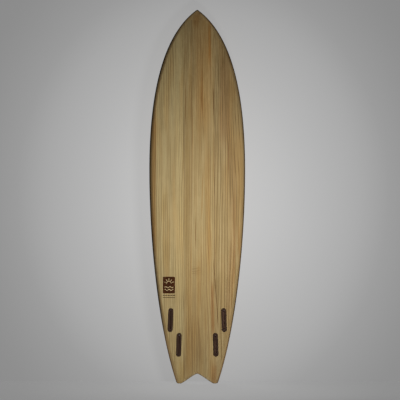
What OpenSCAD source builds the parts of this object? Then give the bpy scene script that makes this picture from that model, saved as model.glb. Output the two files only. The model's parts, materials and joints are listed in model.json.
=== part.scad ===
// Fish-tailed shortboard: timber-skinned foam sandwich with laminated timber rails.
// It stands on its tail tips: +Z is towards the nose, -Y is the bottom, +Y is the deck.

/* [Outline] */
// Length from the nose tip to the tail tips
board_length = 1981; // [1900:1:2050]
// Full width at the widest point
board_width = 505; // [480:1:530]
// Height of the widest point above the tail tips
wide_point = 1130; // [1100:1:1160]
// Half width of the blunt end of the nose
nose_blunt = 3; // [2:0.5:6]
// How far the outline bulges sideways just behind the nose
nose_bulge = 184; // [170:1:200]
// How far down the outline the nose bulge is placed
nose_entry = 134; // [120:1:150]
// How far down the outline the nose curve settles to full width
nose_sweep = 450; // [420:1:480]
// How far below the widest point the outline stays wide
hip_length = 413; // [380:1:440]
// Sideways place of the point that pulls the tail curve in
hip_pull = 198; // [190:1:206]
// Height of the point that pulls the tail curve in
hip_height = 264; // [240:1:290]
// Half width across the tail tips
tail_half = 108; // [104:1:112]
// Depth of the swallow notch
notch_depth = 52; // [44:1:60]
// Sideways place where the notch edge reaches the tail tip
notch_reach = 86; // [80:1:88]

/* [Thickness and rocker] */
// Thickness at the thickest point
max_thick = 66; // [62:0.5:72]
// Height of the thickest point above the tail tips
thick_point = 1080; // [1000:1:1150]
// Thickness at the nose tip
nose_thick = 12; // [11:0.5:16]
// Thickness at the tail tips
tail_thick = 20; // [19:0.5:24]
// Lift of the nose tip above the flat of the bottom
nose_rocker = 118; // [90:1:140]
// Lift of the tail tips above the flat of the bottom
tail_rocker = 48; // [35:1:55]
// Height where the tail rocker begins
flat_low = 820; // [780:1:860]
// Height where the nose rocker begins
flat_high = 1180; // [1140:1:1220]

/* [Cross section] */
// Height of the rail's edge as a share of the thickness
apex_share = 0.4; // [0.35:0.01:0.45]
// Share of the half width over which the bottom is flat
flat_share = 0.5; // [0.4:0.01:0.55]
// Sharpness of the bottom's turn into the rail
bottom_power = 5; // [4:0.5:7]
// Sharpness of the deck's turn into the rail
deck_power = 2.6; // [2.2:0.1:3]

/* [Timber] */
// Thickness of the timber skins
skin = 3.5; // [3:0.25:4]
// Width of one rail strip
strip_w = 6; // [5:0.5:6]
// Strips in each rail
strip_count = 3; // [3:1:3]
// Length of the solid nose block
nose_block_l = 56; // [45:1:70]
// Width of the strips that line the tail notch
notch_strip = 12; // [10:1:14]
// Seam between the left plank and the narrow plank
seam_left = -70; // [-78:1:-62]
// Seam between the narrow plank and the centre plank
seam_centre = -28; // [-36:1:-20]
// Seam between the centre plank and the right plank
seam_right = 89; // [80:1:96]

/* [Fin boxes] */
// Length of a fin box
box_l = 127; // [125:0.5:129]
// Width of a fin box
box_w = 27.7; // [27:0.1:29]
// Depth of a fin box
box_d = 20; // [19:0.5:20.5]
// Length of the fin slot
slot_l = 92; // [90:1:93]
// Width of the fin slot
slot_w = 6.6; // [6.2:0.1:7.5]
// Depth of the fin slot
slot_d = 16; // [15:0.5:17]
// Sideways place of the front boxes
front_x = 141; // [138:1:142]
// Height of the front boxes above the tail tips
front_z = 337; // [330:1:345]
// Sideways place of the rear boxes
rear_x = 97; // [94:1:100]
// Height of the rear boxes above the tail tips
rear_z = 206; // [200:1:212]
// Turn of each box that points its front end at the nose
toe_in = 2; // [0:0.5:3]
// Diameter of a grub screw
screw_d = 5; // [4:0.5:5]
// Length of a grub screw
screw_l = 10; // [9:0.5:11]

/* [Leash plug, vent and badge] */
// Height of the leash plug above the tail tips
plug_z = 112; // [105:1:125]
// Outer diameter of the leash cup
cup_d = 26; // [25:0.5:28]
// Depth of the leash cup
cup_depth = 17; // [16:0.5:18]
// Height of the vent above the tail tips
vent_z = 1430; // [1350:1:1500]
// Diameter of the vent plug
vent_d = 16; // [14:0.5:20]
// Width of the badge
badge_w = 64; // [50:1:70]
// Height of the badge
badge_h = 88; // [70:1:96]
// Sideways place of the badge's middle
badge_x = -149; // [-152:1:-140]
// Height of the badge's middle above the tail tips
badge_z = 522; // [500:1:560]

/* [Hidden] */
$fn = 64;

// Timber and plastic colours
paulownia = [0.66, 0.55, 0.37];
paulownia_dark = [0.60, 0.48, 0.31];
rail_timber = [0.58, 0.46, 0.29];
badge_brown = [0.30, 0.16, 0.10];
foam = [0.95, 0.95, 0.93];
dense_foam = [0.85, 0.83, 0.75];
box_brown = [0.24, 0.17, 0.12];
steel = [0.70, 0.70, 0.72];

// Depth of the whole board, which puts the origin midway between nose and bottom
board_depth = nose_rocker + nose_thick;
// Steps along the whole outline
ring_count = 34;
// Width left at the pointed end of a plank
plank_point = 0.6;
// Least step along the outline, so that no ring is a sliver
ring_gap = 0.012;
// Power of the thickness curve towards the nose and towards the tail
nose_taper = 2;
tail_taper = 2.2;
rail_w = strip_w * strip_count;
// Timber that the tail corner rounding takes away
tip_corner = 11;
// Room beyond the board that a cutting shape reaches
beyond = 20;
// Glue line between the foam core and the skins
glue_gap = 0.5;
// Dense foam: wall round a box, floor under it, and room under the curved skin
insert_wall = 4.1;
insert_floor = 4;
insert_gap = 1.2;
// Rim round a fin box, and how far the middle lies below it
box_rim = 3;
box_dish = 0.6;
// Fin screws: place of the head, depth of the head, lean towards the slot, and clearance
screw_y = 52;
screw_sunk = 2.5;
screw_lean = 20;
screw_gap = 0.05;
screw_bore_l = 15;
hex_size = 2.5;
hex_depth = 3;
// Leash cup: wall, floor, flange and bar
cup_wall = 2.5;
cup_floor = 2.5;
flange_w = 3;
flange_h = 1.2;
bar_d = 4;
bar_depth = 5.5;
leash_wall = 8;
leash_floor = 3;
// Vent: depth of the plug, and bore and thickness of its membrane
vent_depth = 12;
vent_bore = 8;
vent_sheet = 0.8;
// Badge: thickness, glue line under it and corner radius
badge_thick = 0.4;
badge_glue = 0.12;
badge_corner = 6;
// Half length over which a surface slope is measured
slope_reach = 8;

nose_curve = [
    [nose_blunt, board_length],
    [nose_bulge, board_length - nose_entry],
    [board_width / 2, board_length - nose_sweep],
    [board_width / 2, wide_point]
];
tail_curve = [
    [board_width / 2, wide_point],
    [board_width / 2, wide_point - hip_length],
    [hip_pull, hip_height],
    [tail_half, 0]
];
// The notch edge from the middle of the tail to the tip
notch_curve = [
    [0, notch_depth],
    [14, notch_depth],
    [notch_reach - 20, 8],
    [notch_reach, 0]
];

function cubic(p, t) =
    pow(1 - t, 3) * p[0] + 3 * pow(1 - t, 2) * t * p[1] + 3 * (1 - t) * t * t * p[2] + pow(t, 3) * p[3];

// Half width and height at t along the outline: 0 nose, 1 widest point, 2 tail tips
function outline(t) = t <= 1 ? cubic(nose_curve, t) : cubic(tail_curve, t - 1);

// t between a and b where the outline's width (axis 0) or height (axis 1) takes a value
function seek(axis, value, a, b, steps = 24) =
    let (m = (a + b) / 2)
    let (rising = outline(b)[axis] > outline(a)[axis])
    steps == 0 ? m
    : (outline(m)[axis] < value) == rising ? seek(axis, value, m, b, steps - 1)
    : seek(axis, value, a, m, steps - 1);

// Places along the outline from t = a to t = b, both included
function steps_between(a, b) = concat(
    [a],
    [
        for (i = [1 : ring_count - 1])
        let (t = 2 * i / ring_count)
        if (t > a + ring_gap && t < b - ring_gap) t
    ],
    [b]
);

function thickness(z) =
    let (to_nose = (z - thick_point) / (board_length - thick_point))
    let (to_tail = (thick_point - z) / thick_point)
    z > thick_point ? max_thick - (max_thick - nose_thick) * pow(to_nose, nose_taper)
    : max_thick - (max_thick - tail_thick) * pow(to_tail, tail_taper);

function rocker(z) =
    z > flat_high ? nose_rocker * pow((z - flat_high) / (board_length - flat_high), 2)
    : z < flat_low ? tail_rocker * pow((flat_low - z) / flat_low, 2)
    : 0;

// Height of a rounded edge, from 1 in the middle to 0 at the rim
function rolled(u, power) = pow(max(0, 1 - pow(min(1, u), power)), 1 / power);

// Bottom and deck surfaces at x, on the section whose half width and height are s
function bottom_y(x, s) =
    let (u = max(0, abs(x) / s[0] - flat_share) / (1 - flat_share))
    rocker(s[1]) - board_depth / 2 + apex_share * thickness(s[1]) * (1 - rolled(u, bottom_power));
function deck_y(x, s) =
    rocker(s[1]) - board_depth / 2
    + thickness(s[1]) * (apex_share + (1 - apex_share) * rolled(abs(x) / s[0], deck_power));
function under_bottom_skin(x, s) = bottom_y(x, s) + skin;
function under_deck_skin(x, s) = deck_y(x, s) - skin;

function section_at(z) = outline(seek(1, z, 0, 2));

even = function(u) u;
crowd_outward = function(u) 1 - pow(1 - u, 2);
crowd_both = function(u) (1 - cos(180 * u)) / 2;

nose_t = seek(1, board_length - nose_block_l, 0, 1);

// Solid between two surfaces and two lines along the board, at the places ts.
// A side that runs along the rail's edge has its two surfaces meeting there.
module slab(ts, lo, hi, under, over, cols, spread, lo_meets = false, hi_meets = false) {
    upper_first = hi_meets ? cols - 1 : cols;
    upper_last = lo_meets ? 1 : 0;
    rings = [
        for (t = ts)
        let (s = outline(t))
        let (xs = [for (k = [0 : cols]) lo(s) + (hi(s) - lo(s)) * spread(k / cols)])
        concat(
            [for (x = xs) [x, under(x, s), s[1]]],
            [for (k = [upper_first : -1 : upper_last]) [xs[k], over(xs[k], s), s[1]]]
        )
    ];
    n = len(rings[0]);
    last = len(ts) - 1;
    sides = [
        for (i = [0 : last - 1], k = [0 : n - 1])
        let (a = i * n + k, b = i * n + (k + 1) % n)
        each [[a, b, b + n], [a, b + n, a + n]]
    ];
    caps = [[for (k = [n - 1 : -1 : 0]) k], [for (k = [0 : n - 1]) last * n + k]];
    polyhedron([for (ring = rings) each ring], concat(sides, caps));
}

// Prism along Y over a flat shape drawn in X and Z
module through_board(low_y = -board_depth, high_y = board_depth) {
    translate([0, high_y, 0])
    rotate([90, 0, 0])
    linear_extrude(high_y - low_y)
    children();
}

// Everything below the tail's edge, or below the strips that line the notch when inset > 0
module tail_waste(inset = 0) {
    edge_steps = 10;
    corner_steps = 5;
    corner_x = tail_half - tip_corner;
    corner_w = section_at(tip_corner)[0] - corner_x;
    far_x = tail_half + beyond;
    notch = [for (i = [0 : edge_steps]) notch_edge(i / edge_steps, inset)];
    corner = [
        for (i = [0 : corner_steps])
        let (a = 90 * i / corner_steps)
        [corner_x + corner_w * sin(a), tip_corner * (1 - cos(a))]
    ];
    edge = inset > 0 ? notch : concat(notch, corner);
    half = concat(edge, [[far_x, edge[len(edge) - 1][1]]]);
    mirrored = [for (i = [len(half) - 1 : -1 : 1]) [-half[i][0], half[i][1]]];
    through_board() polygon(concat(mirrored, half, [[far_x, -beyond], [-far_x, -beyond]]));
}

// A place on the notch's edge, moved squarely into the timber by inset
function notch_edge(t, inset) =
    let (p = cubic(notch_curve, t))
    let (q = cubic(notch_curve, t + 0.01) - cubic(notch_curve, t - 0.01))
    let (along = t == 0 ? [1, 0] : q / norm(q))
    p + inset * [-along[1], along[0]];

// Edges of the outermost planks, beyond any rail
far_left = -board_width;
far_right = board_width;

// Lines along the board
rail_line = function(s) s[0] - rail_w;
neg_rail_line = function(s) rail_w - s[0];
middle_line = function(s) 0;

// One plank of a skin, between two straight seams, pointed where a seam runs into the rail
module plank(from_x, to_x, under, over, cols) {
    reach = from_x > 0 ? from_x : to_x < 0 ? -to_x : 0;
    width = reach + rail_w + plank_point;
    start_t = max(nose_t, seek(0, width, 0, 1));
    end_t = width > tail_half ? seek(0, width, 1, 2) : 2;
    difference() {
        slab(
            steps_between(start_t, end_t),
            function(s) max(from_x, rail_w - s[0]),
            function(s) min(to_x, s[0] - rail_w),
            under, over, cols, even
        );
        tail_waste(notch_strip);
    }
}

module bottom_plank(from_x, to_x, cols) {
    difference() {
        plank(from_x, to_x, function(x, s) bottom_y(x, s), function(x, s) under_bottom_skin(x, s), cols);
        for (spot = fin_spots)
            if (spot[0] + box_w > from_x && spot[0] - box_w < to_x)
                at_fin(spot) box_outline();
    }
}

module deck_plank(from_x, to_x, cols) {
    plank(from_x, to_x, function(x, s) under_deck_skin(x, s), function(x, s) deck_y(x, s), cols);
}

module bottom_plank_left() {
    color(paulownia_dark) bottom_plank(far_left, seam_left, 4);
}

module bottom_plank_narrow() {
    color(paulownia) bottom_plank(seam_left, seam_centre, 1);
}

module bottom_plank_centre() {
    color(paulownia) bottom_plank(seam_centre, seam_right, 2);
}

module bottom_plank_right() {
    color(paulownia_dark) bottom_plank(seam_right, far_right, 4);
}

module deck_plank_left() {
    color(paulownia) deck_plank(far_left, -seam_right, 4);
}

module deck_plank_narrow() {
    color(paulownia_dark) deck_plank(-seam_centre, -seam_left, 2);
}

module deck_plank_centre() {
    color(paulownia) difference() {
        deck_plank(-seam_right, -seam_centre, 4);
        at_deck(plug_z) leash_hole();
        at_deck(vent_z) vent_hole();
    }
}

module deck_plank_right() {
    color(paulownia) deck_plank(-seam_left, far_right, 4);
}

// Rail strip number i, counted inwards from the edge, on the side given by -1 or 1
module rail_strip(side, i) {
    outermost = i == 0;
    mirror([side < 0 ? 1 : 0, 0, 0])
    difference() {
        slab(
            steps_between(nose_t, 2),
            function(s) s[0] - (i + 1) * strip_w,
            function(s) s[0] - i * strip_w,
            function(x, s) bottom_y(x, s),
            function(x, s) deck_y(x, s),
            outermost ? 5 : 2,
            outermost ? crowd_outward : even,
            hi_meets = outermost
        );
        tail_waste();
    }
}

module rail_left(i) {
    color(rail_timber) rail_strip(-1, i);
}

module rail_right(i) {
    color(rail_timber) rail_strip(1, i);
}

module nose_block() {
    steps = 7;
    color(rail_timber) slab(
        [for (i = [0 : steps]) nose_t * pow(i / steps, 1.3)],
        function(s) -s[0],
        function(s) s[0],
        function(x, s) bottom_y(x, s),
        function(x, s) deck_y(x, s),
        12, crowd_both,
        lo_meets = true, hi_meets = true
    );
}

// Strip that lines one flank of the notch, from the middle to the rail
module tail_strip(side) {
    color(rail_timber)
    mirror([side < 0 ? 1 : 0, 0, 0])
    difference() {
        intersection() {
            slab(
                steps_between(seek(1, notch_depth + notch_strip + 1, 1, 2), 2),
                middle_line, rail_line,
                function(x, s) bottom_y(x, s),
                function(x, s) deck_y(x, s),
                3, even
            );
            tail_waste(notch_strip);
        }
        tail_waste();
    }
}

module foam_core() {
    color(foam) difference() {
        slab(
            steps_between(nose_t, 2),
            neg_rail_line, rail_line,
            function(x, s) under_bottom_skin(x, s) + glue_gap,
            function(x, s) under_deck_skin(x, s) - glue_gap,
            12, even
        );
        tail_waste(notch_strip);
        for (spot = fin_spots) at_fin(spot) insert_outline();
        at_deck(plug_z) leash_insert_hole();
        at_deck(vent_z) vent_hole();
    }
}

// Fin spots: sideways place, height, and turn
left_front = [-front_x, front_z, -toe_in];
left_rear = [-rear_x, rear_z, -toe_in];
right_front = [front_x, front_z, toe_in];
right_rear = [rear_x, rear_z, toe_in];
fin_spots = [left_front, left_rear, right_front, right_rear];

// Lean of the bottom along the board and across it, at a fin spot
function lean_along(spot) =
    let (above = section_at(spot[1] + slope_reach), below = section_at(spot[1] - slope_reach))
    atan((bottom_y(spot[0], below) - bottom_y(spot[0], above)) / (2 * slope_reach));
function lean_across(spot) =
    let (s = section_at(spot[1]), half = box_w / 2)
    atan((bottom_y(spot[0] + half, s) - bottom_y(spot[0] - half, s)) / box_w);

// Puts a shape on the bottom: its Z points out of the bottom and its Y towards the nose
module at_fin(spot) {
    translate([spot[0], bottom_y(spot[0], section_at(spot[1])), spot[1]])
    rotate([90 + lean_along(spot), 0, 0])
    rotate([0, lean_across(spot), spot[2]])
    children();
}

// Puts a shape on the deck's middle line: its Z points out of the deck
module at_deck(z) {
    above = deck_y(0, section_at(z + slope_reach));
    below = deck_y(0, section_at(z - slope_reach));
    translate([0, deck_y(0, section_at(z)), z])
    rotate([-90 - atan((above - below) / (2 * slope_reach)), 0, 0])
    children();
}

// Round-ended block along Y, from depth d below the surface up to top above it
module capsule(l, w, d, top) {
    reach = (l - w) / 2;
    translate([0, 0, -d]) linear_extrude(d + top) {
        square([w, 2 * reach], center = true);
        for (end = [-1, 1]) translate([0, end * reach]) circle(d = w);
    }
}

module box_outline() {
    capsule(box_l, box_w, box_d, beyond);
}

module insert_outline() {
    capsule(box_l + 2 * insert_wall, box_w + 2 * insert_wall, box_d + insert_floor, beyond);
}

module fin_insert(spot) {
    color(dense_foam) at_fin(spot) difference() {
        capsule(
            box_l + 2 * insert_wall, box_w + 2 * insert_wall,
            box_d + insert_floor, -skin - insert_gap
        );
        box_outline();
    }
}

// Puts a shape at a screw's head: Z points out along the screw, end is 1 nose or -1 tail
module at_screw(end) {
    translate([0, end * screw_y, 0]) rotate([-end * screw_lean, 0, 0]) children();
}

module fin_box(spot) {
    color(box_brown) at_fin(spot) difference() {
        capsule(box_l, box_w, box_d, 0);
        capsule(box_l - 2 * box_rim, box_w - 2 * box_rim, box_dish, 1);
        translate([-slot_w / 2, -slot_l / 2, -slot_d]) cube([slot_w, slot_l, slot_d + 1]);
        for (end = [-1, 1]) at_screw(end) {
            translate([0, 0, -screw_bore_l]) cylinder(d = screw_d + 2 * screw_gap, h = screw_bore_l + 5);
        }
    }
}

module fin_screw(spot, end) {
    color(steel) at_fin(spot) at_screw(end) difference() {
        translate([0, 0, -screw_sunk - screw_l]) cylinder(d = screw_d, h = screw_l);
        translate([0, 0, -screw_sunk - hex_depth])
        cylinder(d = hex_size / cos(30), h = hex_depth + 1, $fn = 6);
    }
}

module leash_hole() {
    translate([0, 0, -cup_depth]) cylinder(d = cup_d, h = cup_depth + beyond);
}

module leash_insert_hole() {
    translate([0, 0, -cup_depth - leash_floor])
    cylinder(d = cup_d + 2 * leash_wall, h = cup_depth + beyond);
}

module leash_insert() {
    color(dense_foam) at_deck(plug_z) difference() {
        translate([0, 0, -cup_depth - leash_floor])
        cylinder(d = cup_d + 2 * leash_wall, h = cup_depth + leash_floor - skin - glue_gap);
        leash_hole();
    }
}

module bar_shape() {
    translate([0, 0, -bar_depth])
    rotate([0, 90, 0])
    cylinder(d = bar_d, h = cup_d - cup_wall, center = true);
}

module leash_cup() {
    color(box_brown) at_deck(plug_z) difference() {
        union() {
            translate([0, 0, -cup_depth]) cylinder(d = cup_d, h = cup_depth);
            cylinder(d = cup_d + 2 * flange_w, h = flange_h);
        }
        translate([0, 0, -cup_depth + cup_floor])
        cylinder(d = cup_d - 2 * cup_wall, h = cup_depth + beyond);
        bar_shape();
    }
}

module leash_bar() {
    color(steel) at_deck(plug_z) bar_shape();
}

module vent_hole() {
    translate([0, 0, -vent_depth]) cylinder(d = vent_d, h = vent_depth + beyond);
}

module vent_plug() {
    color(box_brown) at_deck(vent_z) difference() {
        translate([0, 0, -vent_depth]) cylinder(d = vent_d, h = vent_depth);
        translate([0, 0, -vent_sheet]) cylinder(d = vent_bore + 2, h = vent_sheet + 1);
        translate([0, 0, -vent_depth - 1]) cylinder(d = vent_bore, h = vent_depth + 2);
    }
}

module vent_membrane() {
    color(foam) at_deck(vent_z)
    translate([0, 0, -vent_sheet])
    cylinder(d = vent_bore + 2, h = vent_sheet);
}

module badge() {
    left = badge_x - badge_w / 2 - 2;
    right = badge_x + badge_w / 2 + 2;
    top = seek(1, badge_z + badge_h / 2 + 4, 1, 2);
    bottom = seek(1, badge_z - badge_h / 2 - 4, 1, 2);
    color(badge_brown) intersection() {
        slab(
            steps_between(top, bottom),
            function(s) left, function(s) right,
            function(x, s) bottom_y(x, s) - badge_glue - badge_thick,
            function(x, s) bottom_y(x, s) - badge_glue,
            4, even
        );
        through_board() translate([badge_x, badge_z]) {
            square([badge_w - 2 * badge_corner, badge_h], center = true);
            square([badge_w, badge_h - 2 * badge_corner], center = true);
            for (sx = [-1, 1], sy = [-1, 1])
                translate([sx * (badge_w / 2 - badge_corner), sy * (badge_h / 2 - badge_corner)])
                    circle(r = badge_corner);
        }
    }
}

foam_core();
nose_block();
tail_strip(-1);  // tail_strip_left
tail_strip(1);  // tail_strip_right
rail_left(2);  // rail_strip_left_inner
rail_left(1);  // rail_strip_left_middle
rail_left(0);  // rail_strip_left_outer
rail_right(2);  // rail_strip_right_inner
rail_right(1);  // rail_strip_right_middle
rail_right(0);  // rail_strip_right_outer
bottom_plank_left();
bottom_plank_narrow();
bottom_plank_centre();
bottom_plank_right();
deck_plank_left();
deck_plank_narrow();
deck_plank_centre();
deck_plank_right();
fin_insert(left_front);  // fin_insert_left_front
fin_insert(left_rear);  // fin_insert_left_rear
fin_insert(right_front);  // fin_insert_right_front
fin_insert(right_rear);  // fin_insert_right_rear
fin_box(left_front);  // fin_box_left_front
fin_box(left_rear);  // fin_box_left_rear
fin_box(right_front);  // fin_box_right_front
fin_box(right_rear);  // fin_box_right_rear
fin_screw(left_front, 1);  // screw_left_front_nose
fin_screw(left_front, -1);  // screw_left_front_tail
fin_screw(left_rear, 1);  // screw_left_rear_nose
fin_screw(left_rear, -1);  // screw_left_rear_tail
fin_screw(right_front, 1);  // screw_right_front_nose
fin_screw(right_front, -1);  // screw_right_front_tail
fin_screw(right_rear, 1);  // screw_right_rear_nose
fin_screw(right_rear, -1);  // screw_right_rear_tail
leash_insert();
leash_cup();
leash_bar();
vent_plug();
vent_membrane();
badge();
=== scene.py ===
"""A timber-skinned surfboard with a swallow tail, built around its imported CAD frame."""

import json
import math

import bmesh
import bpy
import numpy as np
from mathutils import Matrix, Vector

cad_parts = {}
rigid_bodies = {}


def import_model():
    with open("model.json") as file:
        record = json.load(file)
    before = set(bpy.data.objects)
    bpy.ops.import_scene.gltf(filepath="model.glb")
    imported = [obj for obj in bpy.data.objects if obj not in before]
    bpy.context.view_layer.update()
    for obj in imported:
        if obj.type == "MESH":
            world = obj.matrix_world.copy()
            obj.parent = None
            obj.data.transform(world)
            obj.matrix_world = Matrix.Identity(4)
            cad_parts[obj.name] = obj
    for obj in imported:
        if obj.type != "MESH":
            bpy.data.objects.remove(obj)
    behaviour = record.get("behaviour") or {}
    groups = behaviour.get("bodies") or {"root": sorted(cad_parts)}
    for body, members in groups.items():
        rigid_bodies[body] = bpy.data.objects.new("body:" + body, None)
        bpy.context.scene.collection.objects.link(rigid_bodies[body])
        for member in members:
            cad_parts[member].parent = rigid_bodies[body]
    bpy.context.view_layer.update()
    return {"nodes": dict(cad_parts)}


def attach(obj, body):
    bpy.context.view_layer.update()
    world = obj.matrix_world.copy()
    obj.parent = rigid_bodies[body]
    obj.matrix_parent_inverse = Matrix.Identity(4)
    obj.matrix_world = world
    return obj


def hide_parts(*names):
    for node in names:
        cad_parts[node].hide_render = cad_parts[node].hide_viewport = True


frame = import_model()
scene = bpy.context.scene

# -------- curves, in millimetres
# X runs across the board, Y from the bottom to the deck and Z from the tail to the nose.

MM = 0.001
LENGTH = 1981.0
DEPTH = 130.0  # of the board with its rocker
HALF_WIDTH = 252.5
WIDEST_Z = 1130.0
TAIL_HALF = 108.0  # half of the width across the tail
TIP_CORNER = 11.0  # height of the round corner at each tail tip
NOSE_CURVE = [(3, LENGTH), (184, LENGTH - 134), (HALF_WIDTH, LENGTH - 450), (HALF_WIDTH, WIDEST_Z)]
TAIL_CURVE = [(HALF_WIDTH, WIDEST_Z), (HALF_WIDTH, 717), (198, 264), (TAIL_HALF, 0)]
NOTCH_CURVE = [(0, 52), (14, 52), (66, 8), (86, 0)]
STRIP = 6.0  # width of one rail strip
RAIL = 3 * STRIP
SKIN = 3.5  # thickness of the planks
NOSE_BLOCK = 56.0  # length of the nose block
NOSE_BASE = LENGTH - NOSE_BLOCK
NOTCH_STRIP = 12.0  # width of the strips that line the notch
EDGE_ROUND = 3.0  # radius of the edge at the tail and the nose tip
TAIL_ZONE = 70.0  # no point higher than this is near the tail's edge
THICKEST = 66.0
THICKEST_Z = 1080.0
NOSE_THINNING = 54.0
TAIL_THINNING = 46.0
NOSE_ROCKER = 118.0
NOSE_ROCKER_Z = 1180.0
TAIL_ROCKER = 48.0
TAIL_ROCKER_Z = 820.0
LOW_SHARE = 0.4  # share of the thickness below the rail's outermost line
FLAT_SHARE = 0.5  # share of the half width where the bottom is flat
LOW_POWER = 5
HIGH_POWER = 2.6


def cubic(points, t):
    """Points on a cubic Bezier curve."""
    p = np.array(points, float)
    t = np.atleast_1d(np.asarray(t, float))[:, None]
    return (1 - t) ** 3 * p[0] + 3 * (1 - t) ** 2 * t * p[1] + 3 * (1 - t) * t * t * p[2] + t**3 * p[3]


SPAN = np.linspace(0, 1, 1200)
OUTLINE = np.vstack([cubic(NOSE_CURVE, SPAN), cubic(TAIL_CURVE, SPAN)[1:]])[::-1]


def half_width(z):
    return np.interp(z, OUTLINE[:, 1], OUTLINE[:, 0])


def height_where(width, nose):
    """The height at which the outline has this half width, on the nose or the tail side."""
    side = OUTLINE[:, 1] >= WIDEST_Z if nose else OUTLINE[:, 1] <= WIDEST_Z
    x, z = OUTLINE[side, 0], OUTLINE[side, 1]
    order = np.argsort(x)
    return float(np.interp(width, x[order], z[order]))


def thickness(z):
    to_nose = np.clip((z - THICKEST_Z) / (LENGTH - THICKEST_Z), 0, None)
    to_tail = np.clip((THICKEST_Z - z) / THICKEST_Z, 0, None)
    return THICKEST - NOSE_THINNING * to_nose**2 - TAIL_THINNING * to_tail**2.2


def rocker(z):
    """How far the bottom's middle line lies above its lowest part."""
    to_nose = np.clip((z - NOSE_ROCKER_Z) / (LENGTH - NOSE_ROCKER_Z), 0, None)
    to_tail = np.clip((TAIL_ROCKER_Z - z) / TAIL_ROCKER_Z, 0, None)
    return NOSE_ROCKER * to_nose**2 + TAIL_ROCKER * to_tail**2


def rolled(u, power):
    """A rounded fall from 1 where u is 0 to 0 where u is 1."""
    return np.clip(1 - np.clip(u, 0, 1) ** power, 0, 1) ** (1 / power)


def bottom_at(x, z):
    u = np.clip(np.abs(x) / half_width(z) - FLAT_SHARE, 0, None) / (1 - FLAT_SHARE)
    return rocker(z) - DEPTH / 2 + LOW_SHARE * thickness(z) * (1 - rolled(u, LOW_POWER))


def deck_at(x, z):
    share = LOW_SHARE + (1 - LOW_SHARE) * rolled(np.abs(x) / half_width(z), HIGH_POWER)
    return rocker(z) - DEPTH / 2 + thickness(z) * share


def bottom_inside(x, z):
    """The inner face of the bottom planks."""
    return bottom_at(x, z) + SKIN


def deck_inside(x, z):
    """The inner face of the deck planks."""
    return deck_at(x, z) - SKIN


TIP_X = float(half_width(TIP_CORNER))
TURN = np.radians(np.linspace(0, 90, 24))
NOTCH = cubic(NOTCH_CURVE, np.linspace(0, 1, 80))
CORNER = np.c_[
    TAIL_HALF - TIP_CORNER + (TIP_X - TAIL_HALF + TIP_CORNER) * np.sin(TURN),
    TIP_CORNER * (1 - np.cos(TURN)),
]
TAIL_EDGE = np.vstack([NOTCH, CORNER])


def moved_in(points, distance):
    """A copy of the notch's edge, moved squarely into the timber."""
    along = np.gradient(points, axis=0)
    along[0] = (1, 0)
    along /= np.linalg.norm(along, axis=1)[:, None]
    return points + distance * np.c_[-along[:, 1], along[:, 0]]


STRIP_EDGE = moved_in(NOTCH, NOTCH_STRIP)


def tail_edge(x):
    return np.interp(np.abs(x), TAIL_EDGE[:, 0], TAIL_EDGE[:, 1])


def strip_edge(x):
    """Where the planks meet the strips that line the notch."""
    return np.interp(np.abs(x), STRIP_EDGE[:, 0], STRIP_EDGE[:, 1])


def edge_drop(x, z):
    """How far the surface falls away at the tail's edge and the nose tip."""
    near = z < TAIL_ZONE
    d = np.full(x.shape, EDGE_ROUND)
    if near.any():
        p = np.c_[np.abs(x[near]), z[near]]
        a, b = TAIL_EDGE[:-1], TAIL_EDGE[1:]
        ab = b - a
        length = np.maximum((ab**2).sum(1), 1e-12)
        t = np.clip(((p[:, None] - a) * ab).sum(2) / length, 0, 1)
        d[near] = np.linalg.norm(p[:, None] - a - t[..., None] * ab, axis=2).min(1)
    d = np.minimum(d, LENGTH - z)
    d = np.clip(d, 0, EDGE_ROUND)
    return EDGE_ROUND - np.sqrt(EDGE_ROUND**2 - (EDGE_ROUND - d) ** 2)


def low_surface(x, z):
    return bottom_at(x, z) + edge_drop(x, z)


def high_surface(x, z):
    return deck_at(x, z) - edge_drop(x, z)


# -------- meshes

SHARP = 32  # edges that turn by more than this many degrees stay crisp
BLUNT = 40  # the same, for pieces with tight curves
WELD = 2e-6


def shown(node):
    """The name of the piece that is shown in a CAD node's place."""
    return f"{node}_visual"


def link(name, data):
    """A new object in the scene."""
    thing = bpy.data.objects.new(name, data)
    scene.collection.objects.link(thing)
    return thing


def mesh_from(name, verts, faces):
    """A mesh from points in millimetres."""
    mesh = bpy.data.meshes.new(name)
    mesh.from_pydata([tuple(v) for v in np.asarray(verts, float) * MM], [], [tuple(f) for f in faces])
    return mesh


def clean(mesh, dissolve):
    """Joins points that coincide and turns the faces outwards. dissolve takes out faces without area."""
    work = bmesh.new()
    work.from_mesh(mesh)
    bmesh.ops.remove_doubles(work, verts=work.verts, dist=WELD)
    if dissolve:
        bmesh.ops.dissolve_degenerate(work, edges=work.edges, dist=WELD / 2)
    bmesh.ops.recalc_face_normals(work, faces=work.faces)
    work.to_mesh(mesh)
    work.free()


def make_piece(
    name, verts, faces, materials,
    replaces=(), body="board", marks=None, sharp=SHARP, grain=None, rim=None,
):
    """A mesh from points in millimetres, riding on a body. marks gives each face its material's number.
    grain and rim give each point a place and a distance for its material to read."""
    name = shown(name)
    mesh = mesh_from(name, verts, faces)
    if marks is not None:
        mesh.polygons.foreach_set("material_index", np.asarray(marks, np.int32))
    if grain is not None:
        store = mesh.attributes.new("grain", "FLOAT_VECTOR", "POINT")
        store.data.foreach_set("vector", (np.asarray(grain, float) * MM).astype(np.float32).ravel())
    if rim is not None:
        store = mesh.attributes.new("rim", "FLOAT", "POINT")
        store.data.foreach_set("value", (np.asarray(rim, float) * MM).astype(np.float32))
    clean(mesh, dissolve=True)
    thing = link(name, mesh)
    for material in materials:
        mesh.materials.append(material)
    finish_shading(thing, sharp)
    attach(thing, body)
    if replaces:
        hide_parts(*replaces)
    return thing


def finish_shading(thing, sharp=SHARP):
    mesh = thing.data
    mesh.shade_smooth()
    mesh.set_sharp_from_angle(angle=math.radians(sharp))
    mesh.update()


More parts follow.
